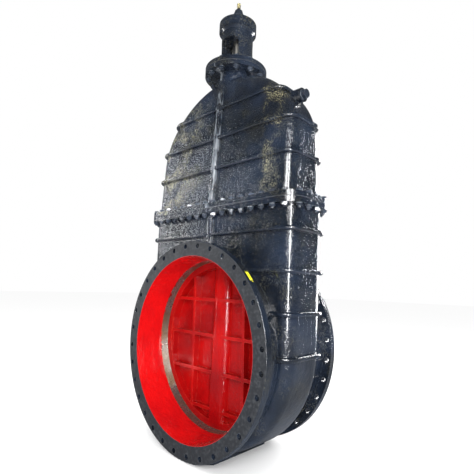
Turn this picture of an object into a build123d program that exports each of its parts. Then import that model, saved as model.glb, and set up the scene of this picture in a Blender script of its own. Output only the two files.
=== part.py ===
from build123d import *
import os
from math import atan2, cos, radians, sin, tan

# A large double-flanged wedge gate valve with an inside screw, in millimetres.
# The bore runs along Y and the inlet flange faces -Y. +Z is up, and the origin is
# on the floor below the middle of the valve. The gate is drawn closed.

# Ports: the 1200 mm size of a PN 6 pipe flange
bore_d = 1200.0
bolt_circle_margin = 70.0
flange_rim_margin = 32.5
flange_hole_count = 32
flange_hole_d = 33.0
flange_t = 45.0
face_to_face = 710.0
port_wall = 42.0
rim_chamfer = 3.0

# Supporting foot under the body
foot_drop = 4.0
foot_half_x = 200.0
foot_corner = 90.0
foot_plate_t = 24.0
foot_web_t = 26.0
foot_web_inset = 34.0

# Seats and wedge taper
seat_half = 94.0
wedge_slope = 0.03
seat_ring_width = 20.0
seat_ring_margin = 14.0
seat_ring_t = 54.0
seat_ring_bevel = 4.0
seat_ring_proud = 10.0
seat_boss_width = 38.0
seat_gap = 0.3
ring_fit = 0.1

# Body chamber
chamber_margin = 100.0
body_wall = 26.0
chamber_spread = 12.0
body_draft = 1.0
body_corner = 90.0
chamber_room = 46.0
neck_rise = 356.0
bead_proud = 26.0
bead_width = 30.0
bead_round = 12.0
body_bead_drop = 190.0
body_bead_pitch = 259.0
body_bead_count = 4
spine_width = 44.0
spine_round = 14.0

# Oblong flange pair between the body and the bonnet
pair_t = 36.0
pair_lip = 42.0
pair_bolt_inset = 21.0
quarter_bolts = 10
gasket_t = 3.0

# Bonnet
bonnet_wall = 22.0
bonnet_corner = 80.0
bonnet_step = 5.0
gate_side_room = 12.0
dome_rise = 194.0
dome_h = 606.0
shoulder_arc_r = 500.0
bonnet_bead_rise = 267.0
bonnet_bead_pitch = 239.0
bonnet_bead_count = 3
neck_wall = 30.0
neck_bore_gap = 17.0
neck_sink = 120.0
neck_height = 43.0
neck_flange_margin = 29.0
neck_flange_t = 32.0
neck_bolt_margin = 30.0
neck_bolt_count = 12
vent_drop = 300.0
vent_boss_r = 48.0
vent_reach = 66.0
vent_sink = 120.0
vent_bore_r = 20.0
vent_plug_flats = 60.0
vent_plug_h = 34.0
vent_plug_length = 30.0

# M24 bolts of both flange pairs
bolt_r = 12.0
bolt_hole_r = 13.5
bolt_flats = 36.0
bolt_head_h = 15.0
bolt_nut_h = 19.0
bolt_end = 10.0
thread_fit = 0.05

# Guide channels and the tongues that run in them
rail_t = 14.0
rail_gap = 3.0
rail_clearance = 12.0
rail_top = 20.0
rail_bottom = -200.0
ear_reach = 35.0
ear_half_t = 14.0
ear_top = 150.0
ear_bottom = -110.0

# Gate
gate_margin = 20.0
gate_ring_t = 14.0
gate_ring_proud = 4.0
gate_ring_inset = 2.0
gate_lip = 45.0
gate_web_half = 30.0
lattice_inset = 12.0
lattice_pitch_x = 262.0
lattice_pitch_z = 255.0
lattice_offset_z = 45.0
lattice_t = 22.0
tunnel_wall = 44.0
tunnel_gap = 8.0
hub_wall = 36.0
hub_rise = 140.0
nut_wall = 22.0
nut_length = 90.0
nut_drop = 15.0
stem_overrun = 15.0

# Stem
stem_r = 40.0
shaft_fit = 0.05
collar_step = 30.0
collar_t = 25.0
upper_stem_step = 2.0
shoulder_step = 8.0
shoulder_t = 25.0
shoulder_rise = 73.0
square_low = 62.0
square_high = 40.0
square_h = 50.0
tip_r = 15.0
tip_h = 57.0

# Stuffing box, packing and gland
box_flange_lip = 70.0
box_flange_t = 16.0
box_wall = 42.0
box_top_rise = 57.0
spigot_depth = 40.0
spigot_gap = 0.5
box_floor_t = 24.0
packing_width = 18.0
packing_t = 17.0
packing_count = 4
bush_wall = 10.0
gland_flange_step = 2.0
gland_flange_t = 22.0
gland_gap = 12.0
gland_nose_gap = 0.5
gland_stud_r = 8.0
gland_stud_margin = 22.0
gland_stud_count = 4
gland_stud_hold = 30.0
gland_stud_top = 62.0
gland_nut_flats = 24.0
gland_nut_h = 13.0

# Pillar, thrust bearings and cover
pillar_h = 398.0
pillar_base_t = 32.0
pillar_low_wall = 28.0
pillar_high_wall = 18.0
pillar_waist_rise = 190.0
pillar_gap = 8.0
pillar_inner_top = 285.0
actuator_margin = 23.0
pillar_flange_t = 37.0
pillar_flare = 18.0
window_inset = 10.0
window_low = 56.0
window_high = 84.0
window_round = 40.0
bearing_step = 5.0
bearing_t = 20.0
bearing_fit = 0.3
collar_gap = 0.1
cover_t = 37.0
cover_boss_wall = 16.0
cover_boss_h = 24.0
seal_width = 16.0
seal_t = 10.0
actuator_pcd = 254.0
actuator_hole_r = 9.0
actuator_tap_r = 7.0
actuator_tap_depth = 28.0
actuator_hole_count = 8
cover_screw_r = 6.0
cover_screw_head_r = 9.0
cover_screw_head_h = 12.0
cover_screw_length = 45.0
cover_socket_flats = 10.0
cover_socket_depth = 6.0
cover_screw_margin = 25.0
cover_screw_count = 4

# Sizes that follow from the ones above
bore_r = bore_d / 2
flange_pcd = bore_d + 2 * bolt_circle_margin
flange_r = flange_pcd / 2 + flange_rim_margin
centre_z = flange_r + foot_drop
port_r = bore_r + port_wall
seat_inner_r = bore_r - seat_ring_width
seat_outer_r = bore_r + seat_ring_margin
throat_r = seat_inner_r + seat_ring_bevel
chamber_r = bore_r + chamber_margin
seat_top_half = seat_half + wedge_slope * bore_r
body_half_y = seat_top_half + chamber_room + body_wall
joint_z = centre_z + bore_r + neck_rise
draft_rise = (joint_z - centre_z) * tan(radians(body_draft))
neck_half_x = chamber_r + chamber_spread + draft_rise

gate_r = bore_r + gate_margin
lift = bore_d
bonnet_z = joint_z + gasket_t
bonnet_half_x = chamber_r
bonnet_half_y = body_half_y + bonnet_step
dome_z = centre_z + lift + dome_rise
dome_top = dome_z + dome_h
crown_span = dome_h - shoulder_arc_r
crown_drop = ((bonnet_half_x - shoulder_arc_r) ** 2 - crown_span**2) / (2 * crown_span)
open_top = centre_z + lift + gate_r
open_half_y = seat_half + wedge_slope * gate_r + gate_side_room + bonnet_wall
bonnet_slope = (bonnet_half_y - open_half_y) / (open_top - bonnet_z)
pair_half_x = neck_half_x + pair_lip
pair_half_y = bonnet_half_y + pair_lip
pair_corner = body_corner + pair_lip

neck_top = dome_top + neck_height + neck_flange_t
pillar_z = neck_top + gasket_t
pillar_top = pillar_z + pillar_h
cover_top = pillar_top + cover_t
rail_x = gate_r + rail_clearance
rail_y = ear_half_t + rail_gap + rail_t / 2

nut_r = stem_r + nut_wall
hub_r = nut_r + hub_wall
collar_r = stem_r + collar_step
upper_stem_r = stem_r - upper_stem_step
shoulder_r = upper_stem_r + shoulder_step
bush_r = stem_r + bush_wall
packing_r = stem_r + packing_width
box_r = packing_r + box_wall
gland_flange_r = box_r - gland_flange_step
gland_stud_circle = packing_r + gland_stud_margin
neck_bore_r = hub_r + neck_bore_gap
neck_r = neck_bore_r + neck_wall
box_flange_r = neck_bore_r + box_flange_lip
neck_bolt_r = box_flange_r + neck_bolt_margin
neck_flange_r = neck_bolt_r + neck_flange_margin
pillar_inner_r = box_r + pillar_gap
pillar_low_r = pillar_inner_r + pillar_low_wall
pillar_high_r = pillar_inner_r + pillar_high_wall
pillar_flange_r = actuator_pcd / 2 + actuator_margin
window_half_x = pillar_inner_r - window_inset
bearing_r = collar_r + bearing_step
seal_r = upper_stem_r + seal_width
cover_boss_r = seal_r + cover_boss_wall
cover_screw_circle = bearing_r + cover_screw_margin

hub_top = centre_z + gate_r + hub_rise
nut_z = hub_top - nut_drop - nut_length
stem_z = nut_z - stem_overrun
tunnel_r = stem_r + tunnel_gap
tunnel_z = stem_z - lift - stem_overrun
gate_ring_inner_r = seat_inner_r - gate_ring_inset
gate_ring_outer_r = seat_outer_r - gate_ring_inset
recess_r = gate_ring_inner_r - gate_lip

box_top = pillar_z + box_flange_t + box_top_rise
box_floor_z = pillar_z - spigot_depth
packing_z = box_floor_z + box_floor_t
packing_top = packing_z + packing_count * packing_t
gland_z = box_top + gland_gap
bearing_z = pillar_top - bearing_t - collar_t - 2 * collar_gap
collar_z = bearing_z + bearing_t + collar_gap
shoulder_z = cover_top + shoulder_rise
square_z = shoulder_z + shoulder_t
tip_z = square_z + square_h
waist_z = pillar_z + pillar_waist_rise
vent_z = dome_top - vent_drop

bore_axis = Axis((0, 0, centre_z), (0, 1, 0))
bore_plane = Plane(origin=(0, 0, centre_z), x_dir=(0, 1, 0), z_dir=(1, 0, 0))
span = 4 * flange_r
pick_margin = 1.0

os.makedirs("parts", exist_ok=True)


def seat_plane(side):
    """Plane of a seat face, facing the gate: side -1 is the inlet, 1 the outlet."""
    return Plane(
        origin=(0, side * seat_half, centre_z),
        x_dir=(1, 0, 0),
        z_dir=(0, -side, wedge_slope),
    )


def body_mass(inset):
    """Body shape moved inwards by inset: draughted sides over a round bottom."""
    radius = chamber_r - inset
    side_x = radius + chamber_spread
    top_x = side_x + draft_rise
    with BuildPart() as mass:
        with BuildSketch(Plane.XZ):
            with BuildLine():
                Polyline((side_x, centre_z), (top_x, joint_z), (-top_x, joint_z), (-side_x, centre_z))
                ThreePointArc((-side_x, centre_z), (0, centre_z - radius), (side_x, centre_z))
            make_face()
        extrude(amount=body_half_y - inset, both=True)
        rims = mass.faces().filter_by(Axis.Y).edges()
        fillet(rims.filter_by_position(Axis.Z, -span, joint_z - pick_margin), body_corner - inset)
    return mass.part


def bonnet_mass(inset):
    """Bonnet shape moved inwards by inset: an arched front on tapering sides."""
    half_x = bonnet_half_x - inset
    low_y = bonnet_half_y - inset
    high_z = dome_top + 2 * bead_proud
    high_y = low_y - bonnet_slope * (high_z - bonnet_z)
    turn = atan2(crown_drop, bonnet_half_x - shoulder_arc_r)
    radius = shoulder_arc_r - inset
    centre_x = half_x - radius
    bend = (centre_x + radius * cos(turn / 2), dome_z + radius * sin(turn / 2))
    shoulder = (centre_x + radius * cos(turn), dome_z + radius * sin(turn))
    with BuildPart() as mass:
        with BuildSketch(Plane.XZ):
            with BuildLine():
                Polyline((-half_x, dome_z), (-half_x, bonnet_z), (half_x, bonnet_z), (half_x, dome_z))
                ThreePointArc((half_x, dome_z), bend, shoulder)
                ThreePointArc(shoulder, (0, dome_top - inset), (-shoulder[0], shoulder[1]))
                ThreePointArc((-shoulder[0], shoulder[1]), (-bend[0], bend[1]), (-half_x, dome_z))
            make_face()
        extrude(amount=span, both=True)
        with BuildSketch(Plane.YZ):
            with BuildLine():
                Polyline(
                    (-low_y, bonnet_z),
                    (low_y, bonnet_z),
                    (high_y, high_z),
                    (-high_y, high_z),
                    close=True,
                )
            make_face()
        extrude(amount=span, both=True, mode=Mode.INTERSECT)
        ends = mass.faces().sort_by(Axis.Y)
        rims = ends[0].edges() + ends[-1].edges()
        fillet(rims.filter_by_position(Axis.Z, bonnet_z + pick_margin, dome_top), bonnet_corner - inset)
    return mass.part


def bead(mass, height):
    """Bead rib round a casting: a slice of its swollen shape with rounded edges."""
    with BuildPart() as slab:
        add(mass)
        with Locations((0, 0, height)):
            Box(span, span, bead_width, mode=Mode.INTERSECT)
        fillet(slab.faces().filter_by(Axis.Z).edges(), bead_round)
    return slab.part


def spine(mass, bottom, top):
    """Upright rib on the middle of the front and back of a casting."""
    with BuildPart() as slab:
        add(mass)
        with Locations((0, 0, (bottom + top) / 2)):
            Box(spine_width, span, top - bottom, mode=Mode.INTERSECT)
        sides = slab.faces().filter_by(Axis.X).edges()
        fillet(sides.filter_by_position(Axis.Z, bottom + pick_margin, top - pick_margin), spine_round)
    return slab.part


def pair_bolt_points():
    """Bolt centres spaced evenly round the oblong flange, the same in each quarter."""
    line_x = pair_half_x - pair_bolt_inset
    line_y = pair_half_y - pair_bolt_inset
    corner = pair_corner - pair_bolt_inset
    with BuildLine() as quarter:
        Line((line_x, 0), (line_x, line_y - corner))
        CenterArc((line_x - corner, line_y - corner), corner, 0, 90)
        Line((line_x - corner, line_y), (0, line_y))
    path = quarter.wire()
    spots = [path.position_at((n + 0.5) / quarter_bolts) for n in range(quarter_bolts)]
    return [(sx * p.X, sy * p.Y) for p in spots for sx in (-1, 1) for sy in (-1, 1)]


def circle_points(radius, count):
    """Points evenly round the stem axis, straddling the X axis."""
    steps = [radians(360 * (n + 0.5) / count) for n in range(count)]
    return [(radius * cos(a), radius * sin(a)) for a in steps]


def bolts(points, head_z, grip):
    """Hexagon bolts through a flange pair, with their heads resting at head_z."""
    with BuildPart() as row:
        with BuildSketch(Plane.XY.offset(head_z)):
            with Locations(*points):
                RegularPolygon(bolt_flats / 2, 6, major_radius=False)
        extrude(amount=bolt_head_h)
        with BuildSketch(Plane.XY.offset(head_z)):
            with Locations(*points):
                Circle(bolt_r)
        extrude(amount=-(grip + bolt_nut_h + bolt_end))
    return row


def nuts(points, top, height, flats, radius):
    """Hexagon nuts whose upper faces are at top."""
    with BuildPart() as row:
        with BuildSketch(Plane.XY.offset(top - height)):
            with Locations(*points):
                RegularPolygon(flats / 2, 6, major_radius=False)
                Circle(radius + thread_fit, mode=Mode.SUBTRACT)
        extrude(amount=height)
    return row


def ring(bottom, height, outer, inner):
    """Flat ring on the stem axis."""
    with BuildPart() as disc:
        with BuildSketch(Plane.XY.offset(bottom)):
            Circle(outer)
            Circle(inner, mode=Mode.SUBTRACT)
        extrude(amount=height)
    return disc


def seat_ring(side):
    """Bevelled metal ring set into the body at the end of a port."""
    with BuildPart() as band:
        with Locations(seat_plane(side).offset(-seat_ring_t / 2)):
            Cylinder(seat_outer_r, seat_ring_t)
            Cone(throat_r, seat_inner_r, seat_ring_t, mode=Mode.SUBTRACT)
    return band


def gate_ring(side):
    """Flat metal ring let into one face of the gate."""
    with BuildPart() as band:
        with Locations(seat_plane(side).offset(seat_gap + gate_ring_t / 2)):
            Cylinder(gate_ring_outer_r, gate_ring_t)
            Cylinder(gate_ring_inner_r, gate_ring_t, mode=Mode.SUBTRACT)
    return band


def gate_blank(radius, inset):
    """Round disc that tapers downwards, its faces moved in from the seats by inset."""
    half = seat_half - inset
    rise = wedge_slope * radius
    with BuildPart() as blank:
        with BuildSketch(bore_plane):
            with BuildLine():
                Polyline(
                    (half + rise, radius),
                    (-half - rise, radius),
                    (rise - half, -radius),
                    (half - rise, -radius),
                    close=True,
                )
            make_face()
        extrude(amount=radius, both=True)
        with BuildSketch(Plane.XZ):
            with Locations((0, centre_z)):
                Circle(radius)
        extrude(amount=span, both=True, mode=Mode.INTERSECT)
    return blank.part


# Valve body: one casting with two flanged ports, a flat-sided chamber and a foot
body_outer = body_mass(0)
body_swell = body_mass(-bead_proud)
body_inner = body_mass(body_wall)
body_mid = body_mass(body_wall / 2)
body_bead_z = [joint_z - body_bead_drop - n * body_bead_pitch for n in range(body_bead_count)]
body_beads = [bead(body_swell, height) for height in body_bead_z]
body_spine = spine(body_swell, centre_z + bore_r + port_wall / 2, joint_z - pair_t / 2)
pair_points = pair_bolt_points()
port_half = face_to_face / 2
port_points = circle_points(flange_pcd / 2, flange_hole_count)

# Guide channels: pairs of rails rooted in the walls of the chamber
rail_h = joint_z - centre_z - rail_bottom
rail_w = chamber_r
rail_spots = [(side_x * (rail_x + rail_w / 2), side_y * rail_y) for side_x in (-1, 1) for side_y in (-1, 1)]
with BuildPart() as body_rails:
    with Locations(*[(x, y, joint_z - rail_h / 2) for x, y in rail_spots]):
        Box(rail_w, rail_t, rail_h)
    add(body_mid, mode=Mode.INTERSECT)

with BuildPart() as valve_body:
    add(body_outer)
    add(body_beads)
    add(body_spine)
    # Ports and their flanges
    with BuildSketch(bore_plane):
        with BuildLine():
            Polyline(
                (-port_half, 0),
                (-port_half, flange_r - rim_chamfer),
                (rim_chamfer - port_half, flange_r),
                (flange_t - port_half, flange_r),
                (flange_t - port_half, port_r),
                (port_half - flange_t, port_r),
                (port_half - flange_t, flange_r),
                (port_half - rim_chamfer, flange_r),
                (port_half, flange_r - rim_chamfer),
                (port_half, 0),
                close=True,
            )
        make_face()
    revolve(axis=bore_axis)
    # Oblong flange under the bonnet
    with BuildSketch(Plane.XY.offset(joint_z - pair_t)):
        RectangleRounded(2 * pair_half_x, 2 * pair_half_y, pair_corner)
    extrude(amount=pair_t)
    # Foot: a sole plate between the port flanges, on two webs
    foot_y = port_half - flange_t / 2
    with BuildSketch(Plane.XY):
        sole = Rectangle(2 * foot_half_x, 2 * foot_y)
        chamfer(sole.vertices(), foot_corner)
    extrude(amount=foot_plate_t)
    web_x = foot_half_x - foot_web_inset
    web_h = centre_z - (port_r**2 - web_x**2) ** 0.5 + foot_plate_t
    with Locations((web_x, 0, web_h / 2), (-web_x, 0, web_h / 2)):
        Box(foot_web_t, 2 * (foot_y - foot_corner), web_h)
    # Chamber
    add(body_inner, mode=Mode.SUBTRACT)
    # Seat bosses, each ending on the slant of its seat
    boss_r = bore_r + seat_boss_width
    boss_h = body_half_y - seat_half - seat_ring_proud + wedge_slope * bore_r
    for side in (-1, 1):
        with Locations(seat_plane(side).offset(-seat_ring_proud - boss_h / 2)):
            Cylinder(boss_r, boss_h)
    add(body_rails.part)
    # Waterway, narrowing from each port face to its seat ring
    with BuildSketch(bore_plane):
        with BuildLine():
            Polyline(
                (-port_half, 0),
                (-port_half, bore_r),
                (-seat_top_half - seat_ring_t, throat_r),
                (seat_top_half + seat_ring_t, throat_r),
                (port_half, bore_r),
                (port_half, 0),
                close=True,
            )
        make_face()
    revolve(axis=bore_axis, mode=Mode.SUBTRACT)
    # Pockets of the seat rings
    for side in (-1, 1):
        with Locations(seat_plane(side).offset(-seat_ring_t / 2)):
            Cylinder(seat_outer_r + ring_fit, seat_ring_t, mode=Mode.SUBTRACT)
    # Bolt holes of the port flanges
    for side in (-1, 1):
        with BuildSketch(Plane.XZ.offset(side * port_half)):
            with Locations(*[(x, centre_z + z) for x, z in port_points]):
                Circle(flange_hole_d / 2)
        extrude(amount=-side * flange_t, mode=Mode.SUBTRACT)
    # Bolt holes of the bonnet flange
    with BuildSketch(Plane.XY.offset(joint_z - pair_t)):
        with Locations(*pair_points):
            Circle(bolt_hole_r)
    extrude(amount=pair_t, mode=Mode.SUBTRACT)
valve_body.part.label = "valve_body"
export_step(valve_body.part, "parts/valve_body.step")

# Seat rings: bare metal bands at the inner ends of the ports
inlet_seat_ring = seat_ring(-1)
inlet_seat_ring.part.label = "inlet_seat_ring"
export_step(inlet_seat_ring.part, "parts/inlet_seat_ring.step")
outlet_seat_ring = seat_ring(1)
outlet_seat_ring.part.label = "outlet_seat_ring"
export_step(outlet_seat_ring.part, "parts/outlet_seat_ring.step")

# Gate: a tapered disc with a ribbed panel, a tube for the stem, a hub and guide tongues
gate_body = gate_blank(gate_r, seat_gap + gate_ring_proud)
gate_lattice_blank = gate_blank(recess_r + gate_lip / 2, lattice_inset)
ear_h = ear_top - ear_bottom
ear_z = centre_z + (ear_top + ear_bottom) / 2
ear_x = gate_r + ear_reach

with BuildPart() as lattice:
    for side in (-1, 1):
        for column in (1, 2):
            with Locations((side * column * lattice_pitch_x, 0, centre_z)):
                Box(lattice_t, span, 2 * gate_r)
    for row in (-2, -1, 0, 1):
        with Locations((0, 0, centre_z + lattice_offset_z + row * lattice_pitch_z)):
            Box(2 * gate_r, span, lattice_t)
    add(gate_lattice_blank, mode=Mode.INTERSECT)

with BuildPart() as tunnel_tube:
    with Locations((0, 0, centre_z)):
        Cylinder(tunnel_r + tunnel_wall, 2 * gate_r)
    add(gate_body, mode=Mode.INTERSECT)

with BuildPart() as gate:
    add(gate_body)
    # Dished faces that leave a web in the middle
    with BuildSketch(Plane.XZ):
        with Locations((0, centre_z)):
            Circle(recess_r)
    extrude(amount=span, both=True, mode=Mode.SUBTRACT)
    with BuildSketch(Plane.XZ):
        with Locations((0, centre_z)):
            Circle(recess_r + gate_lip / 2)
    extrude(amount=gate_web_half, both=True)
    add(lattice.part)
    add(tunnel_tube.part)
    # Hub that holds the stem nut
    hub_low = centre_z + recess_r
    with Locations((0, 0, (hub_low + hub_top) / 2)):
        Cylinder(hub_r, hub_top - hub_low)
    # Guide tongues
    with Locations((ear_x - ear_reach, 0, ear_z), (ear_reach - ear_x, 0, ear_z)):
        Box(2 * ear_reach, 2 * ear_half_t, ear_h)
    # Stem tunnel and nut pocket
    with Locations((0, 0, (tunnel_z + hub_top) / 2)):
        Cylinder(tunnel_r, hub_top - tunnel_z, mode=Mode.SUBTRACT)
    with Locations((0, 0, (nut_z + hub_top) / 2)):
        Cylinder(nut_r + ring_fit, hub_top - nut_z, mode=Mode.SUBTRACT)
    # Seats of the two gate rings
    for side in (-1, 1):
        with BuildSketch(seat_plane(side).offset(seat_gap + gate_ring_t)):
            Circle(gate_ring_outer_r + ring_fit)
            Circle(gate_ring_inner_r - ring_fit, mode=Mode.SUBTRACT)
        extrude(amount=-gate_ring_t, mode=Mode.SUBTRACT)
gate.part.label = "gate"
export_step(gate.part, "parts/gate.step")

# Metal rings of the gate, which close against the seat rings
inlet_gate_ring = gate_ring(-1)
inlet_gate_ring.part.label = "inlet_gate_ring"
export_step(inlet_gate_ring.part, "parts/inlet_gate_ring.step")
outlet_gate_ring = gate_ring(1)
outlet_gate_ring.part.label = "outlet_gate_ring"
export_step(outlet_gate_ring.part, "parts/outlet_gate_ring.step")

# Bronze nut in the hub of the gate
stem_nut = ring(nut_z, nut_length, nut_r, stem_r + shaft_fit)
stem_nut.part.label = "stem_nut"
export_step(stem_nut.part, "parts/stem_nut.step")

# Gasket of the oblong flange pair
with BuildPart() as bonnet_gasket:
    with BuildSketch(Plane.XY.offset(joint_z)):
        RectangleRounded(2 * pair_half_x, 2 * pair_half_y, pair_corner)
        RectangleRounded(
            2 * (pair_half_x - pair_lip - body_wall),
            2 * (pair_half_y - pair_lip - body_wall),
            pair_corner - pair_lip - body_wall,
            mode=Mode.SUBTRACT,
        )
        with Locations(*pair_points):
            Circle(bolt_hole_r, mode=Mode.SUBTRACT)
    extrude(amount=gasket_t)
bonnet_gasket.part.label = "bonnet_gasket"
export_step(bonnet_gasket.part, "parts/bonnet_gasket.step")

# Bonnet: one arched casting with bead ribs, a neck flange and a vent boss
bonnet_outer = bonnet_mass(0)
bonnet_swell = bonnet_mass(-bead_proud)
bonnet_inner = bonnet_mass(bonnet_wall)
bonnet_mid = bonnet_mass(bonnet_wall / 2)
first_bead_z = bonnet_z + pair_t + bonnet_bead_rise
bonnet_bead_z = [first_bead_z + n * bonnet_bead_pitch for n in range(bonnet_bead_count)]
bonnet_beads = [bead(bonnet_swell, height) for height in bonnet_bead_z]
bonnet_spine = spine(bonnet_swell, bonnet_z + pair_t / 2, dome_top + neck_height / 2)
neck_points = circle_points(neck_bolt_r, neck_bolt_count)
vent_wall_x = ((dome_h + crown_drop) ** 2 - (vent_z - dome_z + crown_drop) ** 2) ** 0.5
vent_end = vent_wall_x + vent_reach

# Guide channels, rooted in the walls of the bonnet
rail_end = dome_z + rail_top
with BuildPart() as bonnet_rails:
    with Locations(*[(x, y, (bonnet_z + rail_end) / 2) for x, y in rail_spots]):
        Box(rail_w, rail_t, rail_end - bonnet_z)
    add(bonnet_mid, mode=Mode.INTERSECT)

with BuildPart() as bonnet:
    add(bonnet_outer)
    add(bonnet_beads)
    add(bonnet_spine)
    # Oblong flange
    with BuildSketch(Plane.XY.offset(bonnet_z)):
        RectangleRounded(2 * pair_half_x, 2 * pair_half_y, pair_corner)
    extrude(amount=pair_t)
    # Neck and its flange
    with BuildSketch(Plane.XY.offset(dome_top - neck_sink)):
        Circle(neck_r)
    extrude(amount=neck_sink + neck_height)
    with BuildSketch(Plane.XY.offset(neck_top - neck_flange_t)):
        Circle(neck_flange_r)
    extrude(amount=neck_flange_t)
    # Vent boss on the shoulder
    with BuildSketch(Plane(origin=(vent_end, 0, vent_z), x_dir=(0, 1, 0), z_dir=(1, 0, 0))):
        Circle(vent_boss_r)
    extrude(amount=-vent_reach - vent_sink)
    # Chamber, neck bore and vent bore
    add(bonnet_inner, mode=Mode.SUBTRACT)
    with BuildSketch(Plane.XY.offset(neck_top)):
        Circle(neck_bore_r)
    extrude(amount=-(neck_sink + neck_height), mode=Mode.SUBTRACT)
    with BuildSketch(Plane(origin=(vent_end, 0, vent_z), x_dir=(0, 1, 0), z_dir=(1, 0, 0))):
        Circle(vent_bore_r)
    extrude(amount=-vent_end, mode=Mode.SUBTRACT)
    add(bonnet_rails.part)
    # Bolt holes of both flanges
    with BuildSketch(Plane.XY.offset(bonnet_z)):
        with Locations(*pair_points):
            Circle(bolt_hole_r)
    extrude(amount=pair_t, mode=Mode.SUBTRACT)
    with BuildSketch(Plane.XY.offset(neck_top)):
        with Locations(*neck_points):
            Circle(bolt_hole_r)
    extrude(amount=-neck_flange_t, mode=Mode.SUBTRACT)
bonnet.part.label = "bonnet"
export_step(bonnet.part, "parts/bonnet.step")

# Hexagon plug that closes the vent boss
with BuildPart() as vent_plug:
    with BuildSketch(Plane(origin=(vent_end, 0, vent_z), x_dir=(0, 1, 0), z_dir=(1, 0, 0))):
        RegularPolygon(vent_plug_flats / 2, 6, major_radius=False)
    extrude(amount=vent_plug_h)
    with BuildSketch(Plane(origin=(vent_end, 0, vent_z), x_dir=(0, 1, 0), z_dir=(1, 0, 0))):
        Circle(vent_bore_r - thread_fit)
    extrude(amount=-vent_plug_length)
vent_plug.part.label = "vent_plug"
export_step(vent_plug.part, "parts/vent_plug.step")

# Bolts and nuts of the oblong flange pair
pair_grip = 2 * pair_t + gasket_t
bonnet_bolts = bolts(pair_points, bonnet_z + pair_t, pair_grip)
bonnet_bolts.part.label = "bonnet_bolts"
export_step(bonnet_bolts.part, "parts/bonnet_bolts.step")
bonnet_nuts = nuts(pair_points, joint_z - pair_t, bolt_nut_h, bolt_flats, bolt_r)
bonnet_nuts.part.label = "bonnet_nuts"
export_step(bonnet_nuts.part, "parts/bonnet_nuts.step")

# Gasket under the pillar
with BuildPart() as neck_gasket:
    with BuildSketch(Plane.XY.offset(neck_top)):
        Circle(neck_flange_r)
        Circle(neck_bore_r, mode=Mode.SUBTRACT)
        with Locations(*neck_points):
            Circle(bolt_hole_r, mode=Mode.SUBTRACT)
    extrude(amount=gasket_t)
neck_gasket.part.label = "neck_gasket"
export_step(neck_gasket.part, "parts/neck_gasket.step")

# Stuffing box: a flanged cup held between the neck and the pillar
gland_stud_points = circle_points(gland_stud_circle, gland_stud_count)
with BuildPart() as stuffing_box:
    with BuildSketch(Plane.XZ):
        with BuildLine():
            Polyline(
                (bush_r, box_floor_z),
                (neck_bore_r - spigot_gap, box_floor_z),
                (neck_bore_r - spigot_gap, pillar_z),
                (box_flange_r, pillar_z),
                (box_flange_r, pillar_z + box_flange_t),
                (box_r, pillar_z + box_flange_t),
                (box_r, box_top),
                (packing_r, box_top),
                (packing_r, packing_z),
                (bush_r, packing_z),
                close=True,
            )
        make_face()
    revolve(axis=Axis.Z)
    with BuildSketch(Plane.XY.offset(box_top)):
        with Locations(*gland_stud_points):
            Circle(gland_stud_r + thread_fit)
    extrude(amount=-gland_stud_hold, mode=Mode.SUBTRACT)
stuffing_box.part.label = "stuffing_box"
export_step(stuffing_box.part, "parts/stuffing_box.step")

# Bronze bush in the floor of the stuffing box
stem_bush = ring(box_floor_z, box_floor_t, bush_r, stem_r + shaft_fit)
stem_bush.part.label = "stem_bush"
export_step(stem_bush.part, "parts/stem_bush.step")

# Packing rings
for number in range(packing_count):
    packing = ring(packing_z + number * packing_t, packing_t, packing_r, stem_r + shaft_fit)
    packing.part.label = f"packing_ring_{number + 1}"
    export_step(packing.part, f"parts/packing_ring_{number + 1}.step")

# Gland that presses the packing down, on its studs and nuts
with BuildPart() as gland_follower:
    with BuildSketch(Plane.XY.offset(gland_z)):
        Circle(gland_flange_r)
        with Locations(*gland_stud_points):
            Circle(gland_stud_r + gland_nose_gap, mode=Mode.SUBTRACT)
    extrude(amount=gland_flange_t)
    with BuildSketch(Plane.XY.offset(packing_top)):
        Circle(packing_r - gland_nose_gap)
    extrude(amount=gland_z - packing_top)
    with BuildSketch(Plane.XY.offset(packing_top)):
        Circle(stem_r + gland_nose_gap)
    extrude(amount=gland_z + gland_flange_t - packing_top, mode=Mode.SUBTRACT)
gland_follower.part.label = "gland_follower"
export_step(gland_follower.part, "parts/gland_follower.step")

with BuildPart() as gland_studs:
    with BuildSketch(Plane.XY.offset(box_top - gland_stud_hold)):
        with Locations(*gland_stud_points):
            Circle(gland_stud_r)
    extrude(amount=gland_stud_hold + gland_stud_top)
gland_studs.part.label = "gland_studs"
export_step(gland_studs.part, "parts/gland_studs.step")

gland_nut_top = gland_z + gland_flange_t + gland_nut_h
gland_nuts = nuts(gland_stud_points, gland_nut_top, gland_nut_h, gland_nut_flats, gland_stud_r)
gland_nuts.part.label = "gland_nuts"
export_step(gland_nuts.part, "parts/gland_nuts.step")

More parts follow.
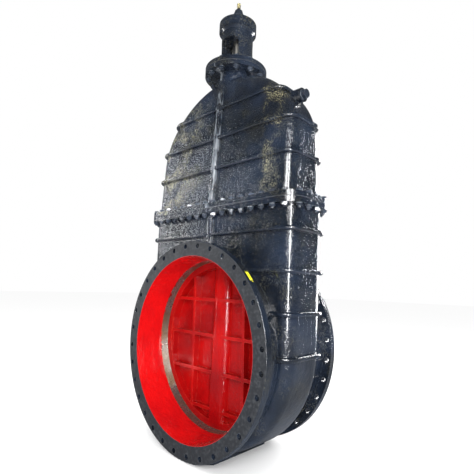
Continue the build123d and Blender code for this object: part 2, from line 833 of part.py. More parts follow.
# Pillar: a hollow column with two windows, open to the gland
pillar_flange_z = pillar_top - pillar_flange_t
actuator_points = circle_points(actuator_pcd / 2, actuator_hole_count)
cover_screw_points = [(-y, x) for x, y in circle_points(cover_screw_circle, cover_screw_count)]
with BuildPart() as pillar:
    with BuildSketch(Plane.XZ):
        with BuildLine():
            Polyline(
                (0, pillar_z),
                (neck_flange_r, pillar_z),
                (neck_flange_r, pillar_z + pillar_base_t),
                (pillar_low_r, pillar_z + pillar_base_t),
                (pillar_high_r, waist_z),
                (pillar_high_r, pillar_flange_z - pillar_flare),
                (pillar_flange_r - pillar_flare / 2, pillar_flange_z),
                (pillar_flange_r, pillar_flange_z),
                (pillar_flange_r, pillar_top),
                (0, pillar_top),
                close=True,
            )
        make_face()
    revolve(axis=Axis.Z)
    # Inside: seat of the stuffing box, room for the gland, stem bore, bearing pocket
    with BuildSketch(Plane.XY.offset(pillar_z)):
        Circle(box_flange_r + ring_fit)
    extrude(amount=box_flange_t, mode=Mode.SUBTRACT)
    with BuildSketch(Plane.XY.offset(pillar_z)):
        Circle(pillar_inner_r)
    extrude(amount=pillar_inner_top, mode=Mode.SUBTRACT)
    with BuildSketch(Plane.XY.offset(pillar_z)):
        Circle(stem_r + gland_nose_gap)
    extrude(amount=pillar_h, mode=Mode.SUBTRACT)
    with BuildSketch(Plane.XY.offset(bearing_z)):
        Circle(bearing_r)
    extrude(amount=pillar_h, mode=Mode.SUBTRACT)
    # Windows through the front and the back
    window_h = waist_z + window_high - pillar_z - pillar_base_t - window_low
    with BuildSketch(Plane.XZ):
        with Locations((0, pillar_z + pillar_base_t + window_low + window_h / 2)):
            RectangleRounded(2 * window_half_x, window_h, window_round)
    extrude(amount=pillar_flange_r, both=True, mode=Mode.SUBTRACT)
    # Bolt holes of the base and tapped holes of the top
    with BuildSketch(Plane.XY.offset(pillar_z)):
        with Locations(*neck_points):
            Circle(bolt_hole_r)
    extrude(amount=pillar_base_t, mode=Mode.SUBTRACT)
    with BuildSketch(Plane.XY.offset(pillar_top)):
        with Locations(*actuator_points):
            Circle(actuator_tap_r)
        with Locations(*cover_screw_points):
            Circle(cover_screw_r + thread_fit)
    extrude(amount=-actuator_tap_depth, mode=Mode.SUBTRACT)
pillar.part.label = "pillar"
export_step(pillar.part, "parts/pillar.step")

# Bolts and nuts that clamp the pillar to the neck
neck_bolts = bolts(neck_points, pillar_z + pillar_base_t, pillar_base_t + gasket_t + neck_flange_t)
neck_bolts.part.label = "neck_bolts"
export_step(neck_bolts.part, "parts/neck_bolts.step")
neck_nuts = nuts(neck_points, neck_top - neck_flange_t, bolt_nut_h, bolt_flats, bolt_r)
neck_nuts.part.label = "neck_nuts"
export_step(neck_nuts.part, "parts/neck_nuts.step")

# Thrust bearings below and above the collar of the stem
bearing_outer = bearing_r - bearing_fit
lower_thrust_bearing = ring(bearing_z, bearing_t, bearing_outer, stem_r + bearing_fit)
lower_thrust_bearing.part.label = "lower_thrust_bearing"
export_step(lower_thrust_bearing.part, "parts/lower_thrust_bearing.step")
upper_bearing_z = collar_z + collar_t + collar_gap
upper_thrust_bearing = ring(upper_bearing_z, bearing_t, bearing_outer, upper_stem_r + bearing_fit)
upper_thrust_bearing.part.label = "upper_thrust_bearing"
export_step(upper_thrust_bearing.part, "parts/upper_thrust_bearing.step")

# Cover that holds the bearings down and carries the drive flange
boss_top = cover_top + cover_boss_h
with BuildPart() as bearing_cover:
    with BuildSketch(Plane.XY.offset(pillar_top)):
        Circle(pillar_flange_r)
    extrude(amount=cover_t)
    with BuildSketch(Plane.XY.offset(cover_top)):
        Circle(cover_boss_r)
    extrude(amount=cover_boss_h)
    # Recess of the upper bearing, stem bore and seal pocket
    with BuildSketch(Plane.XY.offset(pillar_top)):
        Circle(bearing_r)
    extrude(amount=upper_bearing_z + bearing_t - pillar_top, mode=Mode.SUBTRACT)
    with BuildSketch(Plane.XY.offset(pillar_top)):
        Circle(upper_stem_r + gland_nose_gap)
    extrude(amount=cover_t + cover_boss_h, mode=Mode.SUBTRACT)
    with BuildSketch(Plane.XY.offset(boss_top)):
        Circle(seal_r)
    extrude(amount=-seal_t, mode=Mode.SUBTRACT)
    # Drive bolt holes, and screw holes with sunk heads
    with BuildSketch(Plane.XY.offset(pillar_top)):
        with Locations(*actuator_points):
            Circle(actuator_hole_r)
        with Locations(*cover_screw_points):
            Circle(cover_screw_r + gland_nose_gap)
    extrude(amount=cover_t, mode=Mode.SUBTRACT)
    with BuildSketch(Plane.XY.offset(cover_top)):
        with Locations(*cover_screw_points):
            Circle(cover_screw_head_r + gland_nose_gap)
    extrude(amount=-cover_screw_head_h, mode=Mode.SUBTRACT)
bearing_cover.part.label = "bearing_cover"
export_step(bearing_cover.part, "parts/bearing_cover.step")

# Socket screws of the cover
with BuildPart() as cover_screws:
    with BuildSketch(Plane.XY.offset(cover_top)):
        with Locations(*cover_screw_points):
            Circle(cover_screw_head_r)
    extrude(amount=-cover_screw_head_h)
    with BuildSketch(Plane.XY.offset(cover_top - cover_screw_head_h)):
        with Locations(*cover_screw_points):
            Circle(cover_screw_r)
    extrude(amount=-cover_screw_length)
    with BuildSketch(Plane.XY.offset(cover_top)):
        with Locations(*cover_screw_points):
            RegularPolygon(cover_socket_flats / 2, 6, major_radius=False)
    extrude(amount=-cover_socket_depth, mode=Mode.SUBTRACT)
cover_screws.part.label = "cover_screws"
export_step(cover_screws.part, "parts/cover_screws.step")

# Wiper seal in the boss of the cover
stem_seal = ring(boss_top - seal_t, seal_t, seal_r - thread_fit, upper_stem_r + shaft_fit)
stem_seal.part.label = "stem_seal"
export_step(stem_seal.part, "parts/stem_seal.step")

# Stem: screwed shaft, thrust collar, drive shoulder, tapered square and threaded tip
with BuildPart() as stem:
    with BuildSketch(Plane.XZ):
        with BuildLine():
            Polyline(
                (0, stem_z),
                (stem_r, stem_z),
                (stem_r, collar_z),
                (collar_r, collar_z),
                (collar_r, collar_z + collar_t),
                (upper_stem_r, collar_z + collar_t),
                (upper_stem_r, shoulder_z),
                (shoulder_r, shoulder_z),
                (shoulder_r, square_z),
                (0, square_z),
                close=True,
            )
        make_face()
    revolve(axis=Axis.Z)
    with BuildSketch(Plane.XY.offset(square_z)):
        Rectangle(square_low, square_low)
    with BuildSketch(Plane.XY.offset(tip_z)):
        Rectangle(square_high, square_high)
    loft()
    with BuildSketch(Plane.XY.offset(tip_z)):
        Circle(tip_r)
    extrude(amount=tip_h)
stem.part.label = "stem"
export_step(stem.part, "parts/stem.step")
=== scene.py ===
import math

import bpy
import bmesh
from mathutils import Euler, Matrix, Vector


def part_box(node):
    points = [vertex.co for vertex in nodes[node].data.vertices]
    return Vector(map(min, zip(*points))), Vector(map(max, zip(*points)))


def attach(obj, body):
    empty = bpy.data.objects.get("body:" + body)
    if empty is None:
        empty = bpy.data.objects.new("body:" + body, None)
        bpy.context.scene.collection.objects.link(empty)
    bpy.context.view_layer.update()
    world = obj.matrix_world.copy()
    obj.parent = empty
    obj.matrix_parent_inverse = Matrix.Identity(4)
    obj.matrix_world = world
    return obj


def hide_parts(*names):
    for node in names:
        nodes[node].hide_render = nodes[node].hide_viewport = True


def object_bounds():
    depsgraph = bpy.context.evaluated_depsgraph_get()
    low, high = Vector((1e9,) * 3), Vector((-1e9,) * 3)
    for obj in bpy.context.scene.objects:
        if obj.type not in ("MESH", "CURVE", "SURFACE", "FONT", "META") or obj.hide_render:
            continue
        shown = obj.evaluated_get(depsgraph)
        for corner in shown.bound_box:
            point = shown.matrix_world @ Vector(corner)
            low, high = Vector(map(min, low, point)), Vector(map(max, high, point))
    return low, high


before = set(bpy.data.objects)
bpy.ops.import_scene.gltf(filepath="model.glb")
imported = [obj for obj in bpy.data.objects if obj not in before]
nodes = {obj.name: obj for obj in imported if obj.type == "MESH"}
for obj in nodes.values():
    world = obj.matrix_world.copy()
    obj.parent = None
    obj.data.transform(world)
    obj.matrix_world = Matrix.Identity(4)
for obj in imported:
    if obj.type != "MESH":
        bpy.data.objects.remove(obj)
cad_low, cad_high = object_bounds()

# The valve stands on a pale studio floor and is seen from its right front, from about
# chest height, through a moderately wide lens held with a slight roll.
ring_low, ring_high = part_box("inlet_gate_ring")
bore_z = (ring_low.z + ring_high.z) / 2
camera_above_bore = 0.401
camera_tilt = math.radians(7.86)
camera_heading = math.radians(42.54)
camera_roll = math.radians(1.9)
camera_data = bpy.data.cameras.new("camera")
camera_data.sensor_width = 36.0
camera_data.lens = 29.02
camera_data.shift_x = -0.0362
camera_data.shift_y = -0.0051
camera_data.clip_end = 200.0
camera = bpy.data.objects.new("camera", camera_data)
camera.location = (2.081, -1.989, bore_z + camera_above_bore)
turn = Euler((math.pi / 2 + camera_tilt, 0, camera_heading), "XYZ").to_matrix()
roll = Euler((0, 0, camera_roll), "XYZ").to_matrix()
camera.rotation_euler = (turn @ roll).to_euler()
bpy.context.scene.collection.objects.link(camera)
bpy.context.scene.camera = camera
bpy.context.scene.view_settings.view_transform = "Standard"

# Studio: a matt floor, an even white surround and tall soft panels that draw long
# broken highlights down the rounded corners of the castings. The floor and the surround
# are dim in reflections, so that the panels alone draw the gloss of the paint.
floor_reach = 40
floor_corners = [
    (-floor_reach, -floor_reach, 0),
    (floor_reach, -floor_reach, 0),
    (floor_reach, floor_reach, 0),
    (-floor_reach, floor_reach, 0),
]
floor_mesh = bpy.data.meshes.new("floor")
floor_mesh.from_pydata(floor_corners, [], [(0, 1, 2, 3)])
floor = bpy.data.objects.new("floor", floor_mesh)
bpy.context.scene.collection.objects.link(floor)
floor_paint = bpy.data.materials.new("studio_floor")
floor_paint.use_nodes = True
floor_tree = floor_paint.node_tree
floor_shader = floor_tree.nodes["Principled BSDF"]
floor_shader.inputs["Roughness"].default_value = 0.9
floor_shader.inputs["Specular IOR Level"].default_value = 0.0
floor_seen = floor_tree.nodes.new("ShaderNodeLightPath")
floor_tone = floor_tree.nodes.new("ShaderNodeMix")
floor_tone.data_type = "RGBA"
floor_tone.inputs[6].default_value = (0.96, 0.96, 0.96, 1)
floor_tone.inputs[7].default_value = (0.16, 0.17, 0.19, 1)
floor_tree.links.new(floor_seen.outputs["Is Glossy Ray"], floor_tone.inputs[0])
floor_tree.links.new(floor_tone.outputs[2], floor_shader.inputs["Base Color"])
floor_mesh.materials.append(floor_paint)

world = bpy.data.worlds.new("studio")
world.use_nodes = True
sky_tree = world.node_tree
surround = sky_tree.nodes["Background"]
surround.inputs["Color"].default_value = (1, 1, 1, 1)
surround.inputs["Strength"].default_value = 1.0
fill = sky_tree.nodes.new("ShaderNodeBackground")
fill.inputs["Color"].default_value = (0.86, 0.92, 1.0, 1)
fill.inputs["Strength"].default_value = 0.10
seen = sky_tree.nodes.new("ShaderNodeLightPath")
choice = sky_tree.nodes.new("ShaderNodeMixShader")
sky_tree.links.new(seen.outputs["Is Glossy Ray"], choice.inputs[0])
sky_tree.links.new(surround.outputs[0], choice.inputs[1])
sky_tree.links.new(fill.outputs[0], choice.inputs[2])
sky_tree.links.new(choice.outputs[0], sky_tree.nodes["World Output"].inputs["Surface"])
bpy.context.scene.world = world


def soft_panel(name, place, aim, width, height, power):
    """A rectangular soft light, with sizes in metres and power in watts."""
    light = bpy.data.lights.new(name, "AREA")
    light.shape = "RECTANGLE"
    light.size = width
    light.size_y = height
    light.energy = power
    panel = bpy.data.objects.new(name, light)
    panel.location = place
    panel.rotation_euler = (Vector(aim) - Vector(place)).to_track_quat("-Z", "Y").to_euler()
    bpy.context.scene.collection.objects.link(panel)


soft_panel("key_panel", (4.6, -6.4, 4.2), (0, 0, 1.0), 2.0, 2.0, 300)
soft_panel("corner_panel", (5.6, -4.0, 2.2), (0, 0, 1.7), 0.28, 5.0, 520)
soft_panel("edge_panel", (1.2, 6.5, 2.6), (0, 0, 1.7), 0.6, 5.0, 420)
soft_panel("left_panel", (-6.2, -3.2, 2.8), (0, 0, 1.9), 0.30, 4.5, 130)

# Valve body: one heavy grey-iron casting, sand cast with its ports, flanges and foot,
# then brushed all over with thick glossy blue-black paint and red inside the waterway.
# Its port faces are machined flat and left matt.
body_blue = (0.004, 0.006, 0.010, 1)
body_blue_light = (0.013, 0.020, 0.036, 1)
waterway_red = (0.58, 0.005, 0.006, 1)
face_grey = (0.014, 0.016, 0.020, 1)
chalk_yellow = (0.90, 0.85, 0.03, 1)
deep_waterway_red = (0.44, 0.004, 0.006, 1)
scuffed_face_grey = (0.036, 0.040, 0.046, 1)
yard_dust = (0.30, 0.27, 0.16, 1)
bare_iron = (0.30, 0.33, 0.36, 1)


def calculate(tree, operation, *values):
    """One sum on numbers or sockets."""
    node = tree.nodes.new("ShaderNodeMath")
    node.operation = operation
    for slot, value in zip(node.inputs, values):
        if isinstance(value, (int, float)):
            slot.default_value = value
        else:
            tree.links.new(value, slot)
    return node.outputs[0]


def fade(tree, value, low, high):
    """A soft step from 0 at the low value to 1 at the high one."""
    node = tree.nodes.new("ShaderNodeMapRange")
    node.interpolation_type = "SMOOTHSTEP"
    node.inputs["From Min"].default_value = low
    node.inputs["From Max"].default_value = high
    tree.links.new(value, node.inputs["Value"])
    return node.outputs["Result"]


def cloud(tree, place, scale, detail, stretch=None):
    """Cloudy noise, drawn out along an axis where the stretch is below 1."""
    node = tree.nodes.new("ShaderNodeTexNoise")
    node.inputs["Detail"].default_value = detail
    if isinstance(scale, (int, float)):
        node.inputs["Scale"].default_value = scale
    else:
        tree.links.new(scale, node.inputs["Scale"])
    if stretch:
        pull = tree.nodes.new("ShaderNodeMapping")
        pull.inputs["Scale"].default_value = stretch
        tree.links.new(place, pull.inputs["Vector"])
        place = pull.outputs[0]
    tree.links.new(place, node.inputs["Vector"])
    return node.outputs["Fac"]


def coat_over(tree, mask, under, over):
    """One colour laid over another where the mask is high."""
    node = tree.nodes.new("ShaderNodeMix")
    node.data_type = "RGBA"
    tree.links.new(mask, node.inputs[0])
    for slot, colour in ((node.inputs[6], under), (node.inputs[7], over)):
        if isinstance(colour, tuple):
            slot.default_value = colour
        else:
            tree.links.new(colour, slot)
    return node.outputs[2]


def begin_group(name, inputs, outputs):
    """A shader group with a Position and named sizes, and its open ends."""
    tree = bpy.data.node_groups.new(name, "ShaderNodeTree")
    tree.interface.new_socket("Position", in_out="INPUT", socket_type="NodeSocketVector")
    for label, value in inputs.items():
        socket = tree.interface.new_socket(label, in_out="INPUT", socket_type="NodeSocketFloat")
        socket.default_value = value
    for label in outputs:
        tree.interface.new_socket(label, in_out="OUTPUT", socket_type="NodeSocketFloat")
    return tree, tree.nodes.new("NodeGroupInput").outputs, tree.nodes.new("NodeGroupOutput").inputs


def place_group(tree, group, **values):
    """A group in a material, with its inputs given by name."""
    node = tree.nodes.new("ShaderNodeGroup")
    node.node_tree = group
    for label, value in values.items():
        slot = node.inputs[label.replace("_", " ")]
        if isinstance(value, (int, float)):
            slot.default_value = value
        else:
            tree.links.new(value, slot)
    return node.outputs


skin_sizes = {"Lump Size": 0.03, "Grain Size": 0.005}
cast_skin, given, result = begin_group("cast_skin", skin_sizes, ("Height", "Tone", "Dullness"))
lump_scale = calculate(cast_skin, "DIVIDE", 1.0, given["Lump Size"])
grain_scale = calculate(cast_skin, "DIVIDE", 1.0, given["Grain Size"])
lumps = cloud(cast_skin, given["Position"], lump_scale, 3.0)
grain = cloud(cast_skin, given["Position"], grain_scale, 2.0)
runs = cloud(cast_skin, given["Position"], 70.0, 2.0, (1, 1, 0.10))
height = calculate(cast_skin, "MULTIPLY", grain, 0.14)
height = calculate(cast_skin, "MULTIPLY_ADD", lumps, 0.72, height)
height = calculate(cast_skin, "MULTIPLY_ADD", runs, 0.22, height)
cast_skin.links.new(height, result["Height"])
tone = cloud(cast_skin, given["Position"], 3.2, 5.0)
cast_skin.links.new(fade(cast_skin, tone, 0.32, 0.70), result["Tone"])
dull = fade(cast_skin, cloud(cast_skin, given["Position"], 24.0, 5.0), 0.35, 0.75)
cast_skin.links.new(calculate(cast_skin, "MULTIPLY_ADD", dull, 0.14, 0.06), result["Dullness"])

# Edge mask, used for paint rubbed through to the metal and, on the gate, for a painted highlight.
worn_and_lit_edge, given, result = begin_group("worn_and_lit_edge", {"Width": 0.004}, ("Mask",))
rounded = worn_and_lit_edge.nodes.new("ShaderNodeBevel")
rounded.samples = 4
worn_and_lit_edge.links.new(given["Width"], rounded.inputs["Radius"])
facing = worn_and_lit_edge.nodes.new("ShaderNodeNewGeometry")
compare = worn_and_lit_edge.nodes.new("ShaderNodeVectorMath")
compare.operation = "DOT_PRODUCT"
worn_and_lit_edge.links.new(rounded.outputs[0], compare.inputs[0])
worn_and_lit_edge.links.new(facing.outputs["Normal"], compare.inputs[1])
bend = calculate(worn_and_lit_edge, "SUBTRACT", 1.0, compare.outputs["Value"])
patchy = fade(worn_and_lit_edge, cloud(worn_and_lit_edge, given["Position"], 45.0, 4.0), 0.36, 0.62)
worn_and_lit_mask = calculate(worn_and_lit_edge, "MULTIPLY", fade(worn_and_lit_edge, bend, 0.03, 0.22), patchy)
worn_and_lit_edge.links.new(worn_and_lit_mask, result["Mask"])

settled_dust, given, result = begin_group("settled_dust", {"Amount": 0.5}, ("Mask",))
specks = fade(settled_dust, cloud(settled_dust, given["Position"], 150.0, 4.0), 0.50, 0.66)
drifts = fade(settled_dust, cloud(settled_dust, given["Position"], 7.0, 5.0), 0.38, 0.66)
spread = calculate(settled_dust, "MULTIPLY", specks, drifts)
settled_dust.links.new(calculate(settled_dust, "MULTIPLY", spread, given["Amount"]), result["Mask"])


def begin_paint(name, coat, lump_depth):
    """A material with its shader and bump, and the place on the piece that patterns follow."""
    material = bpy.data.materials.new(name)
    material.use_nodes = True
    tree = material.node_tree
    shader = tree.nodes["Principled BSDF"]
    shader.inputs["Coat Weight"].default_value = coat
    shader.inputs["Coat Roughness"].default_value = 0.06
    shader.inputs["Specular IOR Level"].default_value = 0.5
    bump = tree.nodes.new("ShaderNodeBump")
    bump.inputs["Strength"].default_value = 1.0
    bump.inputs["Distance"].default_value = lump_depth
    tree.links.new(bump.outputs[0], shader.inputs["Normal"])
    place = tree.nodes.new("ShaderNodeTexCoord").outputs["Object"]
    return material, tree, shader, bump, place


def split(tree, place):
    """The x, y and z of a place."""
    node = tree.nodes.new("ShaderNodeSeparateXYZ")
    tree.links.new(place, node.inputs[0])
    return node.outputs


def finish_paint(tree, shader, bump, colour, roughness, depth):
    tree.links.new(colour, shader.inputs["Base Color"])
    tree.links.new(roughness, shader.inputs["Roughness"])
    tree.links.new(depth, bump.inputs["Height"])


def edge_wear_and_highlight(tree, colour, place, width, strength, edge_colour):
    """Another colour laid along the edges of a piece: metal showing where paint is rubbed through, and on
    the gate a painted highlight.
    """
    edge = place_group(tree, worn_and_lit_edge, Position=place, Width=width)
    return coat_over(tree, calculate(tree, "MULTIPLY", edge["Mask"], strength), colour, edge_colour)


def dress(node_name, material):
    for slot in nodes[node_name].material_slots:
        slot.material = material


flange_face_y = -cad_low.y
face_depth = 0.0006
waterway_r = 0.6012
port_flange_r = 0.7025
rim_depth = 0.0035
body_paint, tree, shader, bump, place = begin_paint("body_paint", 0.8, 0.0065)
skin = place_group(tree, cast_skin, Position=place, Lump_Size=0.032, Grain_Size=0.005)
x, y, z = split(tree, place)
rise = calculate(tree, "SUBTRACT", z, bore_z)
across = calculate(tree, "MULTIPLY", x, x)
from_bore = calculate(tree, "SQRT", calculate(tree, "MULTIPLY_ADD", rise, rise, across))
on_face = calculate(tree, "GREATER_THAN", calculate(tree, "ABSOLUTE", y), flange_face_y - face_depth)
colour = coat_over(tree, skin["Tone"], body_blue, body_blue_light)
dust = place_group(tree, settled_dust, Position=place, Amount=0.16)
colour = coat_over(tree, dust["Mask"], colour, yard_dust)
scuffs = fade(tree, cloud(tree, place, 60.0, 5.0), 0.45, 0.75)
face_colour = coat_over(tree, scuffs, face_grey, scuffed_face_grey)
colour = coat_over(tree, on_face, colour, face_colour)
colour = edge_wear_and_highlight(tree, colour, place, 0.006, 0.16, bare_iron)
red_tone = fade(tree, cloud(tree, place, 6.0, 4.0), 0.3, 0.8)
red = coat_over(tree, red_tone, waterway_red, deep_waterway_red)
in_bore = calculate(tree, "LESS_THAN", from_bore, waterway_r)
colour = coat_over(tree, in_bore, colour, red)

# A short chalky yellow brush mark lies on the inlet flange's rim, above the right shoulder.
stroke_angle = 0.73
stroke_near = 0.018
stroke_far = 0.042
from_stroke = calculate(tree, "SUBTRACT", calculate(tree, "ARCTAN2", rise, x), stroke_angle)
stroke_end = calculate(tree, "MULTIPLY_ADD", scuffs, 0.03, 0.045)
stroke = calculate(tree, "LESS_THAN", calculate(tree, "ABSOLUTE", from_stroke), stroke_end)
for limit in (
    calculate(tree, "GREATER_THAN", from_bore, port_flange_r - rim_depth),
    calculate(tree, "LESS_THAN", y, stroke_far - flange_face_y),
    calculate(tree, "GREATER_THAN", y, stroke_near - flange_face_y),
):
    stroke = calculate(tree, "MULTIPLY", stroke, limit)
colour = coat_over(tree, stroke, colour, chalk_yellow)
rough = calculate(tree, "MULTIPLY_ADD", dust["Mask"], 0.4, skin["Dullness"])
rough = calculate(tree, "MULTIPLY_ADD", on_face, 0.45, rough)
tree.links.new(calculate(tree, "MULTIPLY_ADD", on_face, -0.8, 0.8), shader.inputs["Coat Weight"])
smoothness = calculate(tree, "MULTIPLY_ADD", on_face, -0.8, 1.0)
finish_paint(tree, shader, bump, colour, rough, calculate(tree, "MULTIPLY", skin["Height"], smoothness))
dress("valve_body", body_paint)

# Seat rings: bronze-grey metal bands pressed into the ends of the ports and turned to
# a bright taper, now warm with tarnish and smears of red paint at their edges.
clean_seat = (0.36, 0.34, 0.31, 1)
tarnished_seat = (0.26, 0.19, 0.12, 1)
seat_freckle = (0.16, 0.14, 0.11, 1)
seat_metal, tree, shader, bump, place = begin_paint("seat_metal", 0.0, 0.0006)
tarnish = fade(tree, cloud(tree, place, 9.0, 5.0), 0.35, 0.68)
colour = coat_over(tree, tarnish, clean_seat, tarnished_seat)
freckles = fade(tree, cloud(tree, place, 90.0, 3.0), 0.60, 0.70)
colour = coat_over(tree, freckles, colour, seat_freckle)
outer_end = fade(tree, calculate(tree, "ABSOLUTE", split(tree, place)["Y"]), 0.130, 0.146)
smears = calculate(tree, "MULTIPLY", fade(tree, cloud(tree, place, 22.0, 4.0), 0.56, 0.62), outer_end)
colour = coat_over(tree, smears, colour, waterway_red)
tool_marks = tree.nodes.new("ShaderNodeTexWave")
tool_marks.bands_direction = "Y"
tool_marks.inputs["Scale"].default_value = 180.0
tool_marks.inputs["Distortion"].default_value = 0.6
tree.links.new(place, tool_marks.inputs["Vector"])
shader.inputs["Metallic"].default_value = 0.9
rough = calculate(tree, "MULTIPLY_ADD", tarnish, 0.22, 0.24)
finish_paint(tree, shader, bump, colour, rough, tool_marks.outputs["Fac"])
for ring in ("inlet_seat_ring", "outlet_seat_ring", "inlet_gate_ring", "outlet_gate_ring"):
    dress(ring, seat_metal)

# Gate: a ribbed iron casting with a tube for the stem down its middle, painted in the
# same thick red as the waterway, a little deeper, with runs, and its rib edges lightened to orange as a
# painted highlight.
gate_shadow_red = (0.20, 0.001, 0.002, 1)
gate_bright_red = (0.38, 0.003, 0.003, 1)
edge_highlight_orange = (0.80, 0.07, 0.04, 1)
gate_grime = (0.10, 0.03, 0.03, 1)
gate_red, tree, shader, bump, place = begin_paint("gate_red", 0.25, 0.005)
shader.inputs["Specular IOR Level"].default_value = 0.25
skin = place_group(tree, cast_skin, Position=place, Lump_Size=0.026, Grain_Size=0.006)
colour = coat_over(tree, skin["Tone"], gate_shadow_red, gate_bright_red)
# Painted highlight: the rib edges of the gate are lightened to orange.
colour = edge_wear_and_highlight(tree, colour, place, 0.007, 0.55, edge_highlight_orange)
grime = place_group(tree, settled_dust, Position=place, Amount=0.25)
colour = coat_over(tree, grime["Mask"], colour, gate_grime)
finish_paint(tree, shader, bump, colour, skin["Dullness"], skin["Height"])
dress("gate", gate_red)

# Stem nut, stem bush and gland: leaded bronze turned on a lathe, left unpainted, with
# fine turning lines and a brown bloom where hands and grease have been.
clean_bronze = (0.55, 0.36, 0.13, 1)
brown_bronze = (0.24, 0.14, 0.06, 1)
turned_bronze, tree, shader, bump, place = begin_paint("turned_bronze", 0.0, 0.0004)
bloom = fade(tree, cloud(tree, place, 30.0, 5.0), 0.35, 0.70)
colour = coat_over(tree, bloom, clean_bronze, brown_bronze)
lathe_lines = tree.nodes.new("ShaderNodeTexWave")
lathe_lines.bands_direction = "Z"
lathe_lines.inputs["Scale"].default_value = 160.0
tree.links.new(place, lathe_lines.inputs["Vector"])
shader.inputs["Metallic"].default_value = 1.0
rough = calculate(tree, "MULTIPLY_ADD", bloom, 0.25, 0.28)
finish_paint(tree, shader, bump, colour, rough, lathe_lines.outputs["Fac"])
for piece in ("stem_nut", "stem_bush", "gland_follower"):
    dress(piece, turned_bronze)

# Bonnet: the arched upper casting, thinner than the body and painted with it; dust and
# old yellow-green spatter have settled on its left shoulder and along its near corner.
bonnet_spatter = (0.42, 0.38, 0.20, 1)
spine_half = 0.023
bonnet_paint, tree, shader, bump, place = begin_paint("bonnet_paint", 0.8, 0.0075)
skin = place_group(tree, cast_skin, Position=place, Lump_Size=0.030, Grain_Size=0.005)
x, y = split(tree, place)[:2]
colour = coat_over(tree, skin["Tone"], body_blue, body_blue_light)
left_side = fade(tree, calculate(tree, "MULTIPLY", x, -1.0), 0.05, 0.50)
past_corner = calculate(tree, "SUBTRACT", 1.0, fade(tree, x, 0.56, 0.64))
corner_strip = calculate(tree, "MULTIPLY", fade(tree, x, 0.42, 0.52), past_corner)
corner_strip = calculate(tree, "MULTIPLY", corner_strip, calculate(tree, "LESS_THAN", y, 0.0))
dusty_places = calculate(tree, "MAXIMUM", left_side, corner_strip)
dust_amount = calculate(tree, "MULTIPLY_ADD", dusty_places, 0.85, 0.08)
dust = place_group(tree, settled_dust, Position=place, Amount=dust_amount)
colour = coat_over(tree, dust["Mask"], colour, bonnet_spatter)
# Painted highlight: a narrow band down the middle of the bonnet, over its spine, is lightened toward bare
# iron in vertical streaks.
spine = calculate(tree, "LESS_THAN", calculate(tree, "ABSOLUTE", x), spine_half)
spine_highlight_streaks = fade(tree, cloud(tree, place, 26.0, 4.0, (1, 1, 0.3)), 0.40, 0.62)
painted_spine_highlight = calculate(tree, "MULTIPLY", spine, spine_highlight_streaks)
colour = coat_over(tree, calculate(tree, "MULTIPLY", painted_spine_highlight, 0.45), colour, bare_iron)
colour = edge_wear_and_highlight(tree, colour, place, 0.005, 0.16, bare_iron)
rough = calculate(tree, "MULTIPLY_ADD", dust["Mask"], 0.35, skin["Dullness"])
finish_paint(tree, shader, bump, colour, rough, skin["Height"])
dress("bonnet", bonnet_paint)

# Gaskets and the wiper seal: black rubber sheet with cloth in it, cut to the flanges
# and squeezed between them, dull and slightly furred.
new_rubber = (0.012, 0.012, 0.013, 1)
bloomed_rubber = (0.045, 0.043, 0.040, 1)
gasket_rubber, tree, shader, bump, place = begin_paint("gasket_rubber", 0.0, 0.0008)
fur = cloud(tree, place, 260.0, 4.0)
bloomed = fade(tree, cloud(tree, place, 18.0, 4.0), 0.45, 0.75)
colour = coat_over(tree, bloomed, new_rubber, bloomed_rubber)
finish_paint(tree, shader, bump, colour, calculate(tree, "MULTIPLY_ADD", bloomed, 0.15, 0.72), fur)
for piece in ("bonnet_gasket", "neck_gasket", "stem_seal"):
    dress(piece, gasket_rubber)

# Bolts and nuts of the bonnet joint: forty M24 hexagon bolts and nuts of forged steel,
# with washers and chamfered heads, painted over with the castings.
dark_fastener = (0.012, 0.016, 0.024, 1)
pale_fastener = (0.040, 0.050, 0.070, 1)
bolt_rust = (0.16, 0.06, 0.03, 1)
fastener_blue, tree, shader, bump, place = begin_paint("fastener_blue", 0.7, 0.0012)
skin = place_group(tree, cast_skin, Position=place, Lump_Size=0.012, Grain_Size=0.003)
colour = coat_over(tree, skin["Tone"], dark_fastener, pale_fastener)
colour = edge_wear_and_highlight(tree, colour, place, 0.003, 0.7, bare_iron)
rust = fade(tree, cloud(tree, place, 55.0, 4.0), 0.66, 0.74)
colour = coat_over(tree, calculate(tree, "MULTIPLY", rust, 0.7), colour, bolt_rust)
finish_paint(tree, shader, bump, colour, skin["Dullness"], skin["Height"])

bolt_r = 0.012
bolt_flats = 0.036
bolt_head_h = 0.015
bolt_point_depth = 0.0016
washer_r = 0.0205
washer_t = 0.003
washer_bevel = 0.0006
facets = 24


def skin_rings(shape, rings):
    """Close a stack of rings of (x, y, z) points into one skin with flat ends."""
    loops = [[shape.verts.new(point) for point in ring] for ring in rings]
    for low, high in zip(loops, loops[1:]):
        for n in range(len(low)):
            follow = (n + 1) % len(low)
            shape.faces.new((low[n], low[follow], high[follow], high[n]))
    shape.faces.new(list(reversed(loops[0])))
    shape.faces.new(loops[-1])


def circle_ring(radius, height, count=facets):
    angles = [math.tau * n / count for n in range(count)]
    return [(radius * math.cos(a), radius * math.sin(a), height) for a in angles]


def hexagon_rings(flats, low, high, low_chamfer, high_chamfer):
    """Rings of a hexagon prism whose corners are turned back to a circle at its ends."""
    inner = 0.95 * flats / 2
    outline = []
    for n in range(facets):
        angle = math.tau * n / facets
        off = (angle + math.pi / 6) % (math.pi / 3) - math.pi / 6
        outline.append((angle, flats / 2 / math.cos(off)))
    slope = math.tan(math.radians(30))

    def side(base, sign):
        return [(r * math.cos(a), r * math.sin(a), base + sign * (r - inner) * slope) for a, r in outline]

    rings = [side(low, low_chamfer), side(high, -high_chamfer)]
    if low_chamfer:
        rings.insert(0, circle_ring(inner, low))
    if high_chamfer:
        rings.append(circle_ring(inner, high))
    return rings


